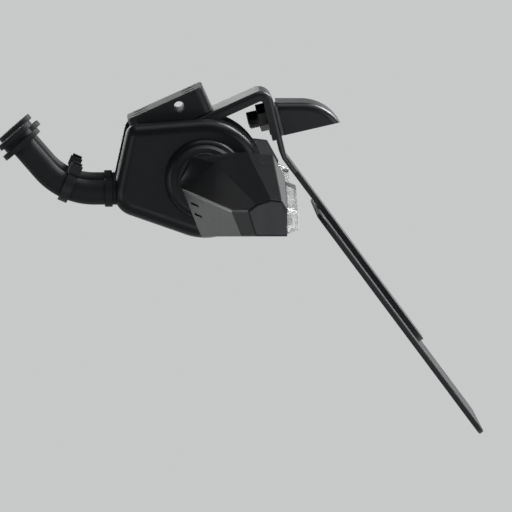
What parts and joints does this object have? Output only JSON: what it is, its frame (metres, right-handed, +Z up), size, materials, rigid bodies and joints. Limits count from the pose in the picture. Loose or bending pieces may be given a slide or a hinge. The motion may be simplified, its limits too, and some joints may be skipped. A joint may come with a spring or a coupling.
{
  "type": "motorbike tail tidy",
  "caption": "Folded black steel number-plate bracket with a sloping mounting block, swept-back indicators on rubber stems and a hooded plate light.",
  "frame": {"origin": "centre of the mounting holes on the spacer block's sloping top face", "axes": "+X to the machine's rear, +Y to its right-hand side, +Z up, as the part is installed"},
  "size_m": [0.1817, 0.2518, 0.1288],
  "materials": {
    "bracket_coat": "satin black powder coat, fine texture",
    "carrier_coat": "satin black powder coat, fine texture",
    "block_black": "black anodised, fine machined texture",
    "black_steel": "black oxide",
    "zinc_steel": "bright zinc plate",
    "light_black": "semi-gloss moulded black",
    "light_lens": "clear polycarbonate",
    "board_green": "green circuit board",
    "led_white": "pale yellow phosphor",
    "gasket_grey": "mid-grey foam rubber",
    "mount_black": "black moulded nylon, fine grain",
    "stem_rubber": "soft black rubber",
    "pod_black": "semi-gloss moulded black",
    "reflector_chrome": "vacuum-metallised",
    "clear_lens": "clear polycarbonate, fluted inside",
    "amber_glass": "amber bulb glass",
    "holder_black": "black moulded plastic",
    "boot_rubber": "moulded black rubber",
    "tie_black": "black nylon"
  },
  "bodies": {
    "root": {"main_bracket": "bracket_coat", "spacer_block": "block_black", "spacer_screws": "black_steel", "plate_carrier": "carrier_coat", "carrier_screws": "black_steel", "plate_light_housing": "light_black", "plate_light_lens": "light_lens", "plate_light_board": "board_green", "plate_light_leds": "led_white", "plate_light_gasket": "gasket_grey", "plate_light_studs": "black_steel", "plate_light_washers": "black_steel", "plate_light_nuts": "black_steel", "left_indicator_mount": "mount_black", "left_mount_screws": "black_steel", "left_indicator_stem": "stem_rubber", "left_stem_stud": "zinc_steel", "left_stem_washer": "zinc_steel", "left_stem_nut": "zinc_steel", "left_indicator_housing": "pod_black", "left_indicator_lens": "clear_lens", "left_lens_screw": "black_steel", "left_indicator_reflector": "reflector_chrome", "left_bulb_holder": "holder_black", "left_indicator_bulb": "amber_glass", "left_wiring_boot": "boot_rubber", "left_cable_tie": "tie_black", "right_indicator_mount": "mount_black", "right_mount_screws": "black_steel", "right_indicator_stem": "stem_rubber", "right_stem_stud": "zinc_steel", "right_stem_washer": "zinc_steel", "right_stem_nut": "zinc_steel", "right_indicator_housing": "pod_black", "right_indicator_lens": "clear_lens", "right_lens_screw": "black_steel", "right_indicator_reflector": "reflector_chrome", "right_bulb_holder": "holder_black", "right_indicator_bulb": "amber_glass", "right_wiring_boot": "boot_rubber", "right_cable_tie": "tie_black"}
  },
  "joints": []
}
